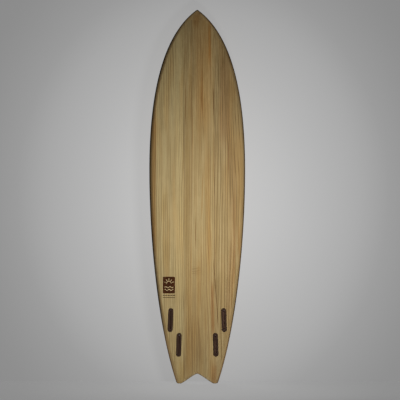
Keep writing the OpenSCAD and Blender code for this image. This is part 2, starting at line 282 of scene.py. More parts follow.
def cutter(verts, faces, matrix):
    """A shape in millimetres, put in its place, to cut out of a piece."""
    mesh = mesh_from("cutter", placed(verts, matrix), faces)
    clean(mesh, dissolve=False)
    return link("cutter", mesh)


def cut(thing, tool):
    """Takes the tool's shape out of a piece for good, and deletes the tool."""
    bpy.context.view_layer.update()
    step = thing.modifiers.new("cut", "BOOLEAN")
    step.operation = "DIFFERENCE"
    step.solver = "EXACT"
    step.object = tool
    graph = bpy.context.evaluated_depsgraph_get()
    mesh = bpy.data.meshes.new_from_object(thing.evaluated_get(graph))
    thing.modifiers.clear()
    thing.data = mesh
    bpy.data.objects.remove(tool)
    finish_shading(thing)


def grid_faces(rows, cols, start=0):
    k = np.arange(rows * cols).reshape(rows, cols) + start
    return np.stack([k[:-1, :-1], k[:-1, 1:], k[1:, 1:], k[1:, :-1]], -1).reshape(-1, 4).tolist()


def ring_faces(rings, sides):
    k = np.arange(rings * sides).reshape(rings, sides)
    n = np.roll(k, -1, axis=1)
    return np.stack([k[:-1], n[:-1], n[1:], k[1:]], -1).reshape(-1, 4).tolist()


def two_sheets(x, z, low, high):
    """Points and faces of two sheets over the same grid of x and z, open round the rim."""
    verts = np.vstack([np.c_[x.ravel(), y.ravel(), z.ravel()] for y in (low, high)])
    return verts, grid_faces(*x.shape) + [f[::-1] for f in grid_faces(*x.shape, x.size)]


def closed_sheets(x, z, low, high):
    """A closed solid between two sheets over the same grid of x and z."""
    verts, faces = two_sheets(x, z, low, high)
    n = x.size
    k = np.arange(n).reshape(x.shape)
    rim = np.concatenate([k[0, :-1], k[:-1, -1], k[-1, :0:-1], k[:0:-1, 0]])
    follow = np.roll(rim, -1)
    faces += np.c_[rim, rim + n, follow + n, follow].tolist()
    return verts, faces


def lathe(profile, sides):
    """Points and faces of a profile of (radius, height) turned about Z. Radius 0 is a pole."""
    angle = 2 * np.pi * np.arange(sides) / sides
    verts = np.array([(r * c, r * s, h) for r, h in profile for c, s in zip(np.cos(angle), np.sin(angle))])
    return verts, ring_faces(len(profile), sides)


def stadium(length, width, arc, run, radius=None):
    """A rounded outline about the origin with its long way along Y, and round ends if radius is None.
    arc is the number of steps in half a turn, and run the number along each straight side."""
    radius = width / 2 if radius is None else radius
    reach_x, reach_y = width / 2 - radius, length / 2 - radius
    corners = []
    for k, (sx, sy) in enumerate([(1, 1), (-1, 1), (-1, -1), (1, -1)]):
        turned = np.radians(90 * k + np.linspace(0, 90, arc // 2 + 1))
        corners.append((sx * reach_x, sy * reach_y) + radius * np.c_[np.cos(turned), np.sin(turned)])
    points = []
    for corner, following in zip(corners, corners[1:] + corners[:1]):
        points.append(corner)
        gap = following[0] - corner[-1]
        if np.linalg.norm(gap) > 1:
            points.append(corner[-1] + np.linspace(0, 1, run + 1)[1:-1, None] * gap)
    loop = np.vstack(points)
    keep = np.linalg.norm(loop - np.roll(loop, 1, axis=0), axis=1) > 1e-4
    return loop[keep]


def stack(loops):
    """A capped solid through loops with the same number of points."""
    sides = len(loops[0])
    faces = ring_faces(len(loops), sides)
    faces.append(list(range(sides))[::-1])
    faces.append([(len(loops) - 1) * sides + i for i in range(sides)])
    return np.vstack(loops), faces


def level(loop, z):
    return np.c_[loop, np.full(len(loop), z)]


def placed(verts, matrix):
    return np.asarray(verts) @ matrix[:3, :3].T + matrix[:3, 3]


def turn(degrees, axis):
    return np.array(Matrix.Rotation(math.radians(degrees), 4, axis))


def shift(x, y, z):
    return np.array(Matrix.Translation((x, y, z)))


BOX_L, BOX_W, BOX_D = 127.0, 27.7, 20.0
# Middle x, middle z and toe angle of each fin box
FIN_SPOTS = {
    "left_front": (-141.0, 337.0, -2.0),
    "left_rear": (-97.0, 206.0, -2.0),
    "right_front": (141.0, 337.0, 2.0),
    "right_rear": (97.0, 206.0, 2.0),
}
LEASH_Z, VENT_Z = 112.0, 1430.0
SLOPE_REACH = 8.0


def climb(surface, x, z):
    """How steeply a surface climbs towards the nose, in degrees."""
    rise = surface(x, z + SLOPE_REACH) - surface(x, z - SLOPE_REACH)
    return math.degrees(math.atan(rise / (2 * SLOPE_REACH)))


def fin_place(x, z, toe):
    """Puts a shape on the bottom: its Z points out of the bottom and its Y towards the nose."""
    half = BOX_W / 2
    across = math.degrees(math.atan((bottom_at(x + half, z) - bottom_at(x - half, z)) / BOX_W))
    spot = shift(x, float(bottom_at(x, z)), z)
    return spot @ turn(90 - climb(bottom_at, x, z), "X") @ turn(toe, "Z") @ turn(across, "Y")


def deck_place(z):
    """Puts a shape on the deck's middle line: its Z points out of the deck."""
    return shift(0, float(deck_at(0, z)), z) @ turn(-90 - climb(deck_at, 0, z), "X")


# -------- materials


class Graph:
    """Short ways to add shader nodes to one tree."""

    def __init__(self, tree):
        self.tree = tree

    def node(self, kind, inputs=None, **settings):
        made = self.tree.nodes.new(kind)
        for key, value in settings.items():
            setattr(made, key, value)
        for key, value in (inputs or {}).items():
            self.put(made.inputs[key], value)
        return made

    def put(self, socket, value):
        if isinstance(value, bpy.types.NodeSocket):
            self.tree.links.new(value, socket)
        elif socket.type == "RGBA" and len(value) == 3:
            socket.default_value = (*value, 1)
        else:
            socket.default_value = value

    def math(self, operation, *values):
        return self.node("ShaderNodeMath", dict(enumerate(values)), operation=operation).outputs[0]

    def smooth(self, value, start, end, top=1.0):
        """Rises from 0 at the start to top at the end."""
        inputs = {0: value, 1: start, 2: end, 3: 0.0, 4: top}
        return self.node("ShaderNodeMapRange", inputs, interpolation_type="SMOOTHSTEP").outputs[0]

    def scaled(self, vector, scale, offset=(0, 0, 0)):
        inputs = {0: vector, 1: scale, 2: offset}
        return self.node("ShaderNodeVectorMath", inputs, operation="MULTIPLY_ADD").outputs[0]

    def noise(self, vector, detail=2.0, roughness=0.5, scale=1.0):
        inputs = {"Vector": vector, "Scale": scale, "Detail": detail, "Roughness": roughness}
        return self.node("ShaderNodeTexNoise", inputs).outputs[0]

    def layer(self, vector, scale, offset, detail, roughness=0.5):
        """Noise over a scaled and shifted place."""
        return self.noise(self.scaled(vector, scale, offset), detail, roughness)

    def mix(self, factor, a, b, blend="MIX"):
        made = self.node("ShaderNodeMix", data_type="RGBA", blend_type=blend)
        for index, value in ((0, factor), (6, a), (7, b)):
            self.put(made.inputs[index], value)
        return made.outputs[2]

    def tinted(self, factor, color, tint):
        """The colour multiplied by the tint, to the extent of the factor."""
        return self.mix(factor, color, tint, "MULTIPLY")

    def ramp(self, factor, stops):
        made = self.node("ShaderNodeValToRGB", {0: factor})
        while len(made.color_ramp.elements) < len(stops):
            made.color_ramp.elements.new(0.5)
        for element, (at, color) in zip(made.color_ramp.elements, stops):
            element.position = at
            element.color = (*color, 1)
        return made.outputs[0]

    def place(self):
        return self.node("ShaderNodeTexCoord").outputs["Object"]

    def finish(self, shader, color, rough, relief, strength, distance):
        """Gives the shader its colour and roughness, and its bump from a relief."""
        bump = self.node("ShaderNodeBump", {"Strength": strength, "Distance": distance, "Height": relief})
        for key, value in (("Base Color", color), ("Roughness", rough), ("Normal", bump.outputs[0])):
            self.put(shader.inputs[key], value)


def new_material(name):
    material = bpy.data.materials.new(name)
    material.use_nodes = True
    material.node_tree.nodes.clear()
    graph = Graph(material.node_tree)
    shader = graph.node("ShaderNodeBsdfPrincipled")
    graph.node("ShaderNodeOutputMaterial", {0: shader.outputs[0]})
    return material, graph, shader


# Darker, lighter and coloured streaks of the bottom's timber, in millimetres:
# middle x, slope of x over z, half width, middle z, half length, fade, tint, strength
STREAKS = [
    (-70, 0, 1.8, 990, 1000, 10, (0.5, 0.42, 0.3), 0.75),
    (-50, 0, 19, 700, 600, 260, (0.86, 0.81, 0.7), 0.85),
    (-28, 0, 1.4, 990, 1000, 10, (0.66, 0.56, 0.44), 0.55),
    (-95, 0, 24, 900, 880, 160, (1.07, 1.08, 1.08), 0.85),
    (-116, 0, 2.8, 1720, 110, 60, (1.22, 1.24, 1.26), 0.65),
    (32, 0, 66, 1660, 240, 200, (1.16, 1.03, 0.9), 0.9),
    (-41, 0, 2.8, 1730, 140, 60, (1.2, 1.22, 1.24), 0.6),
    (-150, 0.02, 3, 1420, 240, 90, (0.82, 0.76, 0.68), 0.7),
    (-174, 0.1, 18, 950, 50, 70, (0.92, 0.88, 0.78), 0.7),
    (-170, 0, 18, 700, 70, 70, (0.9, 0.85, 0.74), 0.7),
    (24, 0, 7.5, 1545, 100, 90, (0.74, 0.6, 0.42), 0.75),
    (86, -0.038, 3.4, 1463, 85, 50, (0.4, 0.29, 0.18), 0.95),
    (-60, 0, 4.2, 1490, 90, 60, (0.74, 0.62, 0.46), 0.75),
    (89, 0, 1.9, 1130, 505, 60, (0.42, 0.3, 0.18), 0.9),
    (98, -0.08, 3, 470, 150, 60, (0.44, 0.32, 0.2), 0.95),
    (99, -0.055, 2.8, 1690, 145, 50, (1.24, 1.24, 1.26), 0.75),
    (90, -0.03, 2.2, 1700, 120, 50, (1.2, 1.18, 1.16), 0.65),
    (111, 0, 18, 850, 280, 110, (1.12, 1.16, 1.22), 0.85),
    (145, 0, 38, 1500, 200, 110, (0.88, 0.77, 0.7), 0.9),
    (65, 0, 10, 1813, 80, 70, (0.9, 0.68, 0.42), 0.8),
    (62, 0, 9, 930, 300, 120, (0.9, 0.78, 0.6), 0.6),
    (46, 0, 2.8, 1080, 260, 110, (0.8, 0.7, 0.56), 0.7),
    (27, 0.03, 5, 1000, 92, 70, (0.8, 0.66, 0.46), 0.75),
    (80, -0.02, 12, 400, 115, 60, (0.75, 0.57, 0.44), 0.9),
    (163, 0, 3.2, 1196, 66, 50, (0.66, 0.46, 0.32), 0.85),
    (194, 0, 4.5, 770, 220, 90, (0.72, 0.58, 0.46), 0.7),
    (188, -0.03, 26, 1010, 180, 120, (0.89, 0.82, 0.76), 0.8),
    (172, 0.07, 26, 530, 200, 120, (0.91, 0.84, 0.8), 0.8),
    (-89, 0, 3.2, 760, 235, 80, (1.14, 1.14, 1.12), 0.6),
    (-7, 0, 3.8, 796, 48, 50, (0.66, 0.54, 0.4), 0.8),
    (8, 0.01, 2.2, 640, 220, 90, (0.76, 0.66, 0.52), 0.7),
    (-6, 0, 26, 1925, 26, 40, (0.8, 0.66, 0.5), 0.8),
    (-228, 0, 18, 1060, 330, 160, (0.7, 0.54, 0.37), 0.9),
    (220, 0, 9, 760, 60, 60, (1, 0.8, 0.62), 0.6),
    (-20, 0, 62, 205, 110, 100, (0.88, 0.83, 0.76), 0.9),
    (88, 0, 20, 40, 50, 30, (0.88, 0.72, 0.6), 0.8),
    (-84, 0, 26, 40, 60, 50, (1.06, 1.03, 0.92), 0.7),
]


def figure_group():
    """A node group that multiplies a colour by the bottom's streaks."""
    tree = bpy.data.node_groups.new("timber_figure", "ShaderNodeTree")
    for name, kind in (("Color", "Color"), ("X", "Float"), ("Z", "Float")):
        tree.interface.new_socket(name, in_out="INPUT", socket_type=f"NodeSocket{kind}")
    tree.interface.new_socket("Color", in_out="OUTPUT", socket_type="NodeSocketColor")
    graph = Graph(tree)
    color, x, z = graph.node("NodeGroupInput").outputs[:3]
    for middle, slope, half, at, reach, fade, tint, strength in STREAKS:
        off = graph.math("SUBTRACT", z, at * MM)
        side = graph.math("SUBTRACT", x, middle * MM)
        if slope:
            side = graph.math("SUBTRACT", side, graph.math("MULTIPLY", off, slope))
        side = graph.math("ABSOLUTE", side)
        inside = graph.smooth(side, half * MM, half * 0.35 * MM, strength)
        length = graph.smooth(graph.math("ABSOLUTE", off), (reach + fade) * MM, (reach - fade * 0.5) * MM)
        color = graph.tinted(graph.math("MULTIPLY", inside, length), color, tint)
    graph.node("NodeGroupOutput", {0: color})
    return tree


FIGURE = figure_group()
# Shares of the layers of noise in the timber's tone
BROAD, CLOUD, BANDS, FIBRES = 0.32, 0.22, 0.8, 0.3
TONE_DROP = 0.28
WANDER, JITTER = 0.012, 0.0016  # how far the grain strays sideways, in metres
RIPPLE_X, RIPPLE_Z = -0.012, 0.596  # middle of the patch of cross grain
GLUE_STEP = STRIP / 2 * MM
GLUE_HALF = 0.0005
NOSE_FADE, TAIL_FADE = (1.8, 1.92), (0.44, 0.16)  # heights in metres where a gain starts and is full
RIM_REACH = 20.0  # millimetres that the rim's tints span
WARM, COOL, PORE = (1.0, 0.88, 0.72), (0.95, 0.99, 1.05), (0.6, 0.48, 0.36)
GLUE, CROSS = (0.45, 0.34, 0.24), (0.62, 0.5, 0.38)


def growth_lines(graph, flow, x, line, lines, seed):
    """Dark lines along Z that lie `line` millimetres apart, swing sideways and fade in and out."""
    swing = graph.layer(flow, (9.0, 5.0, 1.1), (seed * 3, 1.0, seed), 2.0)
    phase = graph.math("ADD", graph.math("MULTIPLY", x, 1000.0 / line), graph.math("MULTIPLY", swing, 5.0))
    wave = graph.math("SINE", graph.math("MULTIPLY", phase, 2 * math.pi))
    late = graph.smooth(wave, 0.25, 0.95)
    gate = graph.smooth(graph.layer(flow, (26.0, 10.0, 1.5), (seed, 8.0, 2.0), 1.0), 0.3, 0.62)
    return graph.math("MULTIPLY", graph.math("MULTIPLY", late, gate), lines)


def cross_grain(graph, place, x, z, color):
    """A small patch of faint ripples across the grain."""
    wave = graph.node("ShaderNodeTexWave", {"Vector": graph.scaled(place, (16.0, 0.0, 25.0)), "Scale": 1.0})
    wave.inputs["Distortion"].default_value = 11.0
    wave.bands_direction = "Z"
    across = graph.math("ABSOLUTE", graph.math("SUBTRACT", x, RIPPLE_X))
    along = graph.math("ABSOLUTE", graph.math("SUBTRACT", z, RIPPLE_Z))
    patch = graph.math("MULTIPLY", graph.smooth(across, 0.04, 0.012), graph.smooth(along, 0.03, 0.01))
    depth = graph.math("MULTIPLY", graph.math("MULTIPLY", patch, wave.outputs[1]), 0.42)
    return graph.tinted(depth, color, CROSS)


def timber(
    name, dark, mid, light, line, lines, seed,
    figure=True, laminated=False, ripple=False, rim=None, gloss=1.0, nose_gain=1.0, tail_gain=1.0,
):
    """Clear-finished timber in three tones, with growth lines along Z that lie `line` millimetres apart.
    lines is how dark they are. figure adds the bottom's streaks, and ripple the patch of cross grain.
    laminated measures X in from the outline and adds glue lines. rim lists tints by distance from the edge,
    which paint shade along the outline, and the gains multiply the colour at the nose and the tail, where
    they lift the rails' painted shade."""
    material, graph, shader = new_material(name)
    real_place = graph.place()
    place = real_place
    if laminated:
        place = graph.node("ShaderNodeAttribute", attribute_name="grain").outputs["Vector"]
    x, y, z = graph.node("ShaderNodeSeparateXYZ", {0: place}).outputs
    wander = graph.layer(place, (4.0, 2.0, 1.6), (seed, 3.1, seed), 2.0)
    jitter = graph.layer(place, (30.0, 8.0, 9.0), (seed, 1.7, 0.0), 1.0)
    drift = graph.math("MULTIPLY", graph.math("SUBTRACT", wander, 0.5), WANDER)
    drift = graph.math("ADD", drift, graph.math("MULTIPLY", graph.math("SUBTRACT", jitter, 0.5), JITTER))
    wandered = graph.math("ADD", x, drift)
    flow = graph.node("ShaderNodeCombineXYZ", {0: wandered, 1: y, 2: z}).outputs[0]
    broad = graph.layer(flow, (16.0, 9.0, 1.5), (seed, 0.0, seed), 1.0)
    cloud = graph.layer(place, (24.0, 12.0, 11.0), (seed, 6.0, seed), 3.0, 0.6)
    bands = graph.layer(flow, (90.0, 40.0, 2.4), (seed * 2, 5.0, seed), 4.0, 0.72)
    fibres = graph.layer(flow, (420.0, 300.0, 7.0), (seed, 2.0, 0.0), 3.0, 0.6)
    pores = graph.layer(flow, (1900.0, 1500.0, 60.0), (seed, 4.0, 0.0), 1.0)
    hue = graph.layer(flow, (26.0, 12.0, 2.0), (seed, 11.0, 7.0), 1.0)
    rings = growth_lines(graph, flow, wandered, line, lines, seed)

    tone = graph.math("MULTIPLY_ADD", cloud, CLOUD, graph.math("MULTIPLY", broad, BROAD))
    tone = graph.math("MULTIPLY_ADD", bands, BANDS, tone)
    tone = graph.math("MULTIPLY_ADD", fibres, FIBRES, tone)
    tone = graph.math("SUBTRACT", tone, rings)
    tone = graph.math("SUBTRACT", tone, TONE_DROP)
    color = graph.ramp(tone, [(0.28, dark), (0.5, mid), (0.7, light)])
    if ripple:
        color = cross_grain(graph, place, x, z, color)
    color = graph.tinted(graph.smooth(hue, 0.5, 0.66, 0.5), color, WARM)
    color = graph.tinted(graph.smooth(hue, 0.5, 0.36, 0.6), color, COOL)
    color = graph.tinted(graph.smooth(pores, 0.6, 0.74, 0.38), color, PORE)
    if figure:
        real_x = wandered
        if laminated:
            real_x = graph.node("ShaderNodeSeparateXYZ", {0: real_place}).outputs[0]
        color = graph.node("ShaderNodeGroup", {0: color, 1: real_x, 2: z}, node_tree=FIGURE).outputs[0]
    if laminated:
        glue = graph.math("PINGPONG", x, GLUE_STEP)
        color = graph.tinted(graph.smooth(glue, GLUE_HALF, GLUE_HALF / 5, 0.35), color, GLUE)
    # Painted shade: the gains lift the rails' painted shade at the nose and the tail, and the rim's tints
    # paint shade along the outline
    for gain, (far, near) in ((nose_gain, NOSE_FADE), (tail_gain, TAIL_FADE)):
        if gain != 1.0:
            lighter = graph.tinted(1.0, color, (gain, gain, gain))
            color = graph.mix(graph.smooth(z, far, near), color, lighter)
    if rim:
        depth = graph.node("ShaderNodeAttribute", attribute_name="rim").outputs["Fac"]
        share = graph.math("MULTIPLY", depth, 1000.0 / RIM_REACH)
        color = graph.tinted(1.0, color, graph.ramp(share, [(at / RIM_REACH, tint) for at, tint in rim]))

    rough = graph.math("MULTIPLY_ADD", fibres, 0.16, graph.math("MULTIPLY_ADD", rings, 0.12, 0.42))
    relief = graph.math("SUBTRACT", graph.math("MULTIPLY", fibres, 0.6), graph.math("MULTIPLY", rings, 0.7))
    graph.finish(shader, color, rough, relief, 0.3, 0.00025)
    shader.inputs["Coat Weight"].default_value = 0.15 * gloss
    shader.inputs["Coat Roughness"].default_value = 0.3
    shader.inputs["Specular IOR Level"].default_value = 0.5 * gloss
    return material


def moulded(name, dark, light, roughness, coat=0.0):
    """Moulded plastic: a slight mottle, a fine texture in the surface and faint scuffs."""
    material, graph, shader = new_material(name)
    place = graph.place()
    mottle = graph.noise(place, 4.0, 0.6, 60.0)
    speck = graph.noise(place, 2.0, 0.5, 900.0)
    scuff = graph.layer(place, (900.0, 900.0, 60.0), (0, 0, 0), 1.0)
    tone = graph.math("MULTIPLY_ADD", speck, 0.45, graph.math("MULTIPLY", mottle, 0.7))
    color = graph.ramp(tone, [(0.3, dark), (0.8, light)])
    worn = tuple(min(1.0, c * 1.7 + 0.01) for c in light)
    color = graph.mix(graph.smooth(scuff, 0.66, 0.8, 0.45), color, worn)
    rough = graph.math("MULTIPLY_ADD", speck, 0.2, roughness - 0.1)
    graph.finish(shader, color, rough, speck, 0.25, 0.0001)
    shader.inputs["Coat Weight"].default_value = coat
    shader.inputs["Coat Roughness"].default_value = 0.15
    return material


def metal(name, color, roughness):
    """Bare metal: a fine grain and darker blotches."""
    material, graph, shader = new_material(name)
    place = graph.place()
    grain = graph.layer(place, (4000.0, 4000.0, 900.0), (0, 0, 0), 3.0, 0.6)
    blotch = graph.noise(place, 3.0, 0.6, 350.0)
    darker = tuple(c * 0.62 for c in color)
    color = graph.ramp(blotch, [(0.3, darker), (0.62, color)])
    rough = graph.math("MULTIPLY_ADD", grain, 0.25, roughness - 0.12)
    graph.finish(shader, color, rough, grain, 0.2, 0.00005)
    shader.inputs["Metallic"].default_value = 1.0
    return material


def foam(name, dark, light, bead):
    """Closed-cell foam: beads of this many millimetres with darker joints between them."""
    material, graph, shader = new_material(name)
    place = graph.place()
    cells = graph.node("ShaderNodeTexVoronoi", {"Vector": place, "Scale": 1000.0 / bead}).outputs[0]
    mottle = graph.noise(place, 3.0, 0.6, 40.0)
    tone = graph.math("MULTIPLY_ADD", mottle, 0.3, graph.math("MULTIPLY", cells, -0.6))
    color = graph.ramp(graph.math("ADD", tone, 0.75), [(0.2, dark), (0.7, light)])
    graph.finish(shader, color, 0.9, tone, 0.5, 0.0004)
    return material


TAN = (0.275, 0.18, 0.072)
STRAW = (0.385, 0.27, 0.117)
PALE = (0.45, 0.325, 0.15)
# Three tones, then the distance, darkness and seed of the growth lines
BOTTOM_LOOKS = {
    "left": ((0.275, 0.196, 0.08), (0.384, 0.281, 0.124), (0.455, 0.345, 0.16), 11.5, 0.38, 3.3),
    "narrow": (TAN, (0.345, 0.245, 0.102), (0.42, 0.305, 0.14), 11.0, 0.34, 7.9),
    "centre": (TAN, (0.352, 0.248, 0.102), (0.43, 0.312, 0.142), 13.0, 0.29, 12.4),
    "right": ((0.225, 0.144, 0.051), (0.33, 0.225, 0.092), (0.4, 0.284, 0.127), 13.5, 0.31, 5.2),
}
DECK_LOOKS = {
    "left": (TAN, STRAW, PALE, 8.0, 0.3, 21.3),
    "centre": (TAN, STRAW, PALE, 14.0, 0.28, 27.8),
    "narrow": (TAN, (0.355, 0.245, 0.1), PALE, 11.0, 0.22, 33.1),
    "right": (TAN, STRAW, PALE, 7.0, 0.2, 39.6),
}
WOODS = {
    key: timber(f"bottom_{key}_timber", *look, ripple=key == "centre") for key, look in BOTTOM_LOOKS.items()
}
DECK_WOODS = {key: timber(f"deck_{key}_timber", *look, figure=False) for key, look in DECK_LOOKS.items()}
# The rail strips from the outer one in: three tones, gloss, how light the left rail's strip is beside
# the right one's, and how much lighter a strip is at the tail. The strips are laminated timber, and their
# tones darken towards the outline as painted shade of the rounded rail. The left rail's factor is painted
# shade from light falling from the right, and the tail's factor lifts the painted shade there.
RAIL_LOOKS_AND_SHADE = (
    (((0.064, 0.038, 0.015), (0.098, 0.06, 0.026), (0.138, 0.088, 0.038)), 0.25, 0.38, 1.9),
    (((0.17, 0.11, 0.044), (0.24, 0.164, 0.07), (0.3, 0.208, 0.092)), 0.6, 0.54, 1.2),
    (((0.23, 0.155, 0.064), (0.318, 0.222, 0.096), (0.39, 0.28, 0.125)), 0.8, 0.84, 1.0),
)


def rail_wood_and_shade(side, number):
    """The timber of one rail strip, with painted shade: darker on the left rail, lifted at the nose and the
    tail. number counts from the outer strip in.
    """
    tones, gloss, painted_shade, fade = RAIL_LOOKS_AND_SHADE[number]
    word, painted_shade = ("left", painted_shade) if side < 0 else ("right", 1.0)
    tones = [tuple(c * painted_shade for c in tone) for tone in tones]
    return timber(
        f"rail_timber_{word}_{number + 1}", *tones, line=5.0, lines=0.16, seed=14.2 + 3 * number,
        laminated=True, gloss=gloss, nose_gain=1 / painted_shade, tail_gain=fade / painted_shade,
    )


# The left rail's strips are copies of the right rail's with painted shade, and both carry painted shade
# towards the outline
RAIL_WOODS_AND_SHADE = {side: [rail_wood_and_shade(side, number) for number in range(3)] for side in (-1, 1)}
# Tints of painted shade along the outline, from dark at the edge to none further in
DARK_RIM_SHADE, BROWN_RIM_SHADE, TAN_RIM_SHADE = (0.27, 0.245, 0.28), (0.7, 0.7, 0.7), (0.94, 0.94, 0.96)
PLAIN = (1.0, 1.0, 1.0)
BLOCK_TONES = ((0.235, 0.155, 0.064), (0.34, 0.236, 0.1), (0.415, 0.3, 0.138))
# The rails' tones go on over the nose block as bands over the laminations, with painted shade darkest at
# the outline, and across the tail strips they are painted shade on the rounded edge that fades out inward
NOSE_RIM_SHADE = [(0, DARK_RIM_SHADE), (5.9, DARK_RIM_SHADE), (6.1, BROWN_RIM_SHADE), (11.9, BROWN_RIM_SHADE)]
NOSE_RIM_SHADE += [(12.1, TAN_RIM_SHADE), (17.9, TAN_RIM_SHADE), (18.1, PLAIN)]
TAIL_RIM_SHADE = [(0, BROWN_RIM_SHADE), (2.6, BROWN_RIM_SHADE), (3.4, TAN_RIM_SHADE), (6, PLAIN)]
NOSE_WOOD_AND_SHADE = timber("nose_block_timber_and_painted_shade", *BLOCK_TONES, line=8.0, lines=0.2, seed=9.7, rim=NOSE_RIM_SHADE)
TAIL_WOOD_AND_SHADE = timber("tail_strip_timber_and_painted_shade", *BLOCK_TONES, line=8.0, lines=0.2, seed=9.7, rim=TAIL_RIM_SHADE)
BOX_RIM = moulded("fin_box_rim", (0.014, 0.006, 0.003), (0.026, 0.012, 0.006), 0.5)
BOX_FACE = moulded("fin_box_face", (0.032, 0.015, 0.009), (0.05, 0.025, 0.015), 0.6)
BOX_SLOT = moulded("fin_box_slot", (0.085, 0.046, 0.03), (0.12, 0.066, 0.044), 0.7)
CUP_PLASTIC = moulded("leash_cup_plastic", (0.022, 0.011, 0.006), (0.04, 0.021, 0.012), 0.36, coat=0.3)
STEEL = metal("steel", (0.56, 0.55, 0.54), 0.38)
CORE_FOAM = foam("core_foam", (0.74, 0.74, 0.72), (0.9, 0.9, 0.88), 3.0)
DENSE_FOAM = foam("dense_foam", (0.55, 0.5, 0.38), (0.74, 0.69, 0.55), 0.9)
MEMBRANE = foam("membrane", (0.62, 0.62, 0.6), (0.84, 0.84, 0.82), 0.35)


def veneer(name, dark, mid, light, lines, seed, gloss):
    return timber(name, dark, mid, light, line=3.0, lines=lines, seed=seed, figure=False, gloss=gloss)


DARK_TONES = ((0.03, 0.01, 0.004), (0.05, 0.018, 0.007), (0.075, 0.028, 0.011))
PALE_TONES = ((0.42, 0.3, 0.14), (0.56, 0.42, 0.21), (0.66, 0.52, 0.28))
INK_TONES = ((0.022, 0.01, 0.005), (0.036, 0.016, 0.008), (0.06, 0.028, 0.014))
BADGE_DARK = veneer("badge_veneer", *DARK_TONES, lines=0.2, seed=2.2, gloss=0.06)
BADGE_PALE = veneer("badge_inlay", *PALE_TONES, lines=0.1, seed=4.4, gloss=0.5)
BADGE_INK = veneer("badge_rules", *INK_TONES, lines=0.1, seed=6.1, gloss=0.1)

# -------- skins, rails and end blocks

BEYOND = 400.0  # past the rails
PLANKS = {"left": (-BEYOND, -70), "narrow": (-70, -28), "centre": (-28, 89), "right": (89, BEYOND)}
DECK_PLANKS = {"left": (-BEYOND, -89), "centre": (-89, 28), "narrow": (28, 70), "right": (70, BEYOND)}
PLANK_POINT = 0.6  # width of a plank at its pointed ends
PLANK_STEP = 7.0
ROW_STEP = 9.0
ROUND_ROWS = (0.0, 0.12, 0.45, 0.95, 1.6, 2.3, 3.0)
NOSE_ROWS = (2.4, 1.6, 0.95, 0.45, 0.12, 0.0)
STRIP_ROWS = (5.0, 7.5, 10.0, NOTCH_STRIP)


def row_places(length, first=()):
    """Places from 0 to 1 along a length in millimetres, with some close to its start."""
    start = first[-1] if first else 0.0
    rest = np.linspace(start, length, max(2, int((length - start) / ROW_STEP) + 1))
    return np.concatenate([list(first)[:-1], rest]) / length


def plank(name, low_x, high_x, under, over, material):
    """A plank between two lines along the board, or the rails, and between two surfaces."""
    narrowest = max(low_x, -high_x, 0.0) + RAIL + PLANK_POINT
    top = min(NOSE_BASE, height_where(narrowest, True))
    bottom = height_where(narrowest, False) if narrowest > TAIL_HALF else 0.0
    widest = min(high_x, HALF_WIDTH - RAIL) - max(low_x, RAIL - HALF_WIDTH)
    across = np.linspace(0, 1, max(5, int(widest / PLANK_STEP) + 1))
    u, v = np.meshgrid(across, row_places(top - bottom))
    z = np.maximum(strip_edge(np.zeros_like(u)), bottom) * (1 - v) + top * v
    for _ in range(30):
        left = np.maximum(low_x, RAIL - half_width(z))
        right = np.minimum(high_x, half_width(z) - RAIL)
        x = left + (right - left) * u
        end = np.maximum(strip_edge(x), bottom)
        z = end + v * (top - end)
    verts, faces = closed_sheets(x, z, under(x, z), over(x, z))
    make_piece(name, verts, faces, [material], [name])


for key, (low_x, high_x) in PLANKS.items():
    name = f"bottom_plank_{key}"
    plank(name, low_x, high_x, bottom_at, bottom_inside, WOODS[key])
for key, (low_x, high_x) in DECK_PLANKS.items():
    name = f"deck_plank_{key}"
    plank(name, low_x, high_x, deck_inside, deck_at, DECK_WOODS[key])

# Openings for the fin boxes, leash cup and vent
CUT_REACH = 12
LEASH_RADIUS, VENT_RADIUS = 13.0, 8.0
BOX_ARC, BOX_RUN = 40, 12
loop = stadium(BOX_L, BOX_W, BOX_ARC, BOX_RUN)
opening = stack([level(loop, -CUT_REACH), level(loop, CUT_REACH)])
for x, z, toe in FIN_SPOTS.values():
    for key, (low_x, high_x) in PLANKS.items():
        if x + BOX_W > low_x and x - BOX_W < high_x:
            cut(bpy.data.objects[shown(f"bottom_plank_{key}")], cutter(*opening, fin_place(x, z, toe)))
for z, radius in ((LEASH_Z, LEASH_RADIUS), (VENT_Z, VENT_RADIUS)):
    opening = lathe([(0, -CUT_REACH), (radius, -CUT_REACH), (radius, CUT_REACH), (0, CUT_REACH)], 64)
    cut(bpy.data.objects[shown("deck_plank_centre")], cutter(*opening, deck_place(z)))


def rail_end(offset):
    """Height at which a line along the rail, this far in from the outline, meets the tail's edge."""
    low, high = 0.0, 16.0
    for _ in range(40):
        middle = (low + high) / 2
        if middle < tail_edge(half_width(middle) - offset):
            low = middle
        else:
            high = middle
    return high


def rail_strip(side, number, name):
    """One strip of a rail. The outer strip's two faces meet along the outline."""
    outer = number == 0
    u = np.linspace(0, 1, 15 if outer else 4)
    across = 1 - (1 - u) ** 2 if outer else u
    ends = np.array([rail_end((number + 1 - a) * STRIP) for a in across])
    v = row_places(NOSE_BASE, ROUND_ROWS)[:, None]
    z = ends * (1 - v) + NOSE_BASE * v
    x = half_width(z) - (number + 1 - across) * STRIP
    low, high = low_surface(x, z), high_surface(x, z)
    if outer:
        low[:, -1] = high[:, -1] = bottom_at(x[:, -1], z[:, -1])
        low, high = np.minimum(low, low[:, -1:]), np.maximum(high, high[:, -1:])
    verts, faces = closed_sheets(side * x, z, low, high)
    grain = np.c_[(half_width(verts[:, 2]) - np.abs(verts[:, 0])) * side, verts[:, 1:]]
    # The strip's tones carry painted shade of the rounded rail
    wood_and_shade = RAIL_WOODS_AND_SHADE[side][number]
    make_piece(name, verts, faces, [wood_and_shade], [name], sharp=BLUNT, grain=grain)


